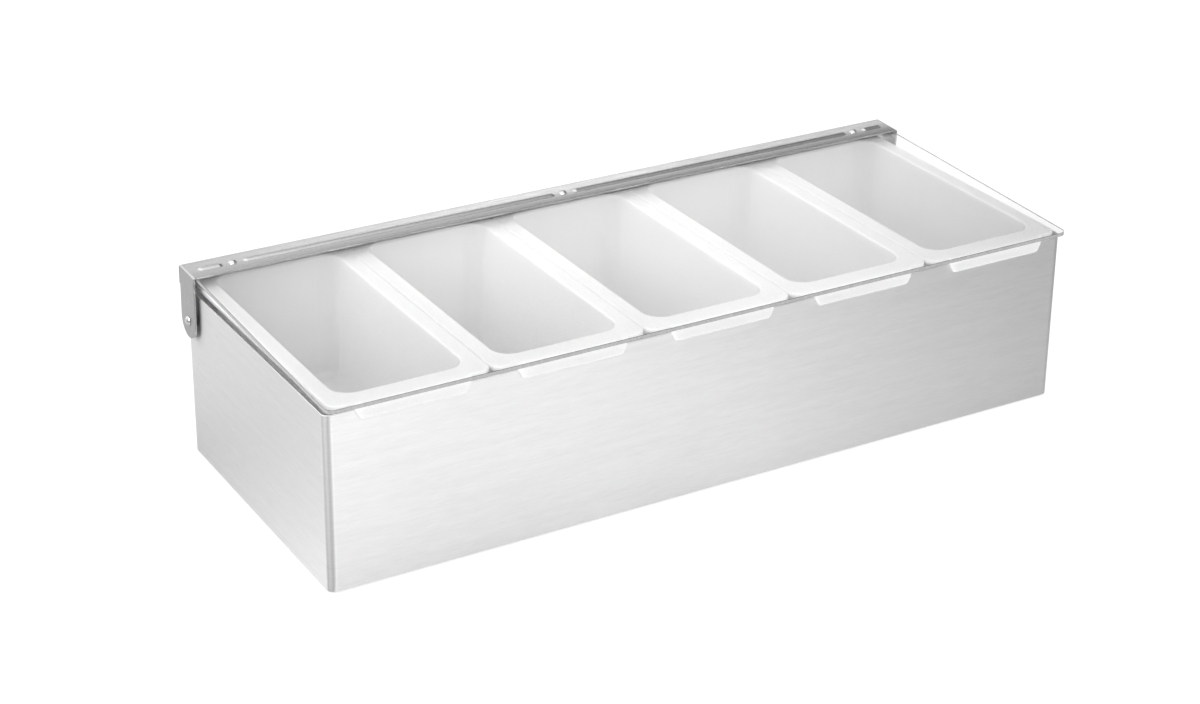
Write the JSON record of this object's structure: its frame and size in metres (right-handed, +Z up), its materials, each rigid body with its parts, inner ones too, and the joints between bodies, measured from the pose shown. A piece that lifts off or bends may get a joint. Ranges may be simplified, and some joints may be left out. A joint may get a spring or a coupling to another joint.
{
  "type": "condiment caddy",
  "caption": "Long brushed steel box with a row of white lift-out plastic inserts under one clear flat lid, riveted to a steel rail that swings on end pivots.",
  "frame": {"origin": "centre of the flat underside that the box stands on", "axes": "+X along the row of inserts, to the right of someone at the front; -Y towards the front, where the finger tabs are; +Y towards the hinge; +Z up"},
  "size_m": [0.5092, 0.2036, 0.1232],
  "materials": {
    "box_steel": "stainless sheet with a fine brushing that runs along the box",
    "rail_steel": "satin stainless sheet",
    "rivet_steel": "bright rivets and washers",
    "insert_white": "smooth white moulded plastic with a soft shine",
    "lid_clear": "clear colourless sheet with bright cut edges",
    "spacer_black": "black moulded plastic"
  },
  "bodies": {
    "caddy": {"body_shell": "box_steel", "base_pan": "box_steel", "insert_1": "insert_white", "insert_2": "insert_white", "insert_3": "insert_white", "insert_4": "insert_white", "insert_5": "insert_white", "pivot_rivet_left": "rivet_steel", "pivot_rivet_right": "rivet_steel", "pivot_spacer_left": "spacer_black", "pivot_spacer_right": "spacer_black", "pivot_washer_left": "rivet_steel", "pivot_washer_right": "rivet_steel"},
    "lid": {"lid_panel": "lid_clear", "hinge_rail": "rail_steel", "lid_rivet_left": "rivet_steel", "lid_rivet_middle": "rivet_steel", "lid_rivet_right": "rivet_steel", "lid_washer_left": "rivet_steel", "lid_washer_middle": "rivet_steel", "lid_washer_right": "rivet_steel"}
  },
  "joints": [
    {"name": "lid_hinge", "type": "hinge", "parent": "caddy", "child": "lid", "pos_m": [0, 0.089, 0.0895], "axis": [-1, 0, 0], "range_deg": [0, 125]}
  ]
}
